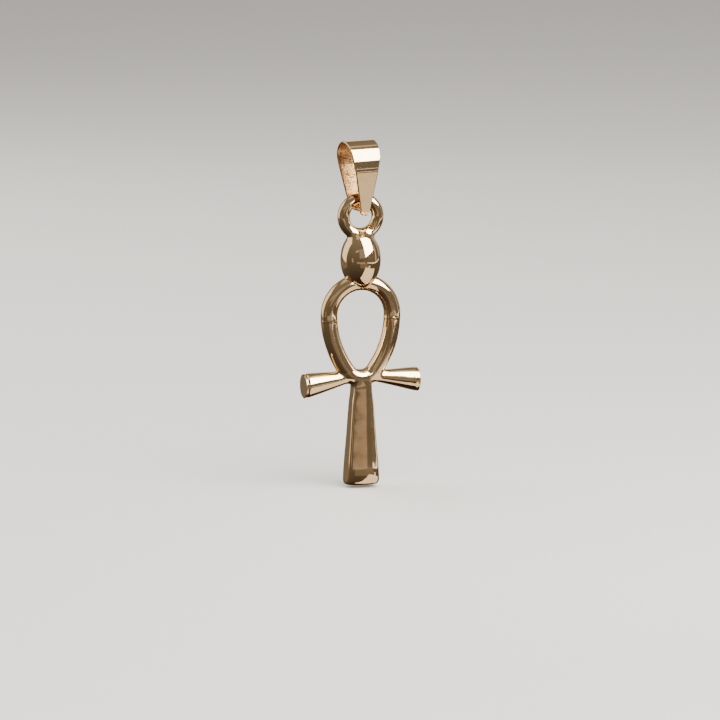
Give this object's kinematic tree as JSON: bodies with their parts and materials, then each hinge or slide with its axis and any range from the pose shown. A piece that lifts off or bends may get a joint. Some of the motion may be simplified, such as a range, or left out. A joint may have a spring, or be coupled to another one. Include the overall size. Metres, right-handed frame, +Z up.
{
  "type": "ankh pendant with bail",
  "caption": "Gold ankh pendant with a round-tube teardrop loop, flared round arms, a flared stem, an oval bead and an eye ring, hung on a folded strip bail.",
  "frame": {"origin": "inside of the bail's rounded top, at its middle, where the chain bears", "axes": "+Z up along the hanging pendant, front towards -Y, arms along X"},
  "size_m": [0.0132, 0.0048, 0.0378],
  "materials": {
    "bail_gold": "polished 14 karat yellow gold",
    "ankh_gold": "polished 14 karat yellow gold"
  },
  "bodies": {
    "bail": {"bail": "bail_gold"},
    "ankh": {"ankh": "ankh_gold"}
  },
  "joints": [
    {"name": "ankh_swing", "type": "hinge", "parent": "bail", "child": "ankh", "pos_m": [0, 0, -0.00611], "axis": [1, 0, 0], "range_deg": [-90, 90]}
  ]
}
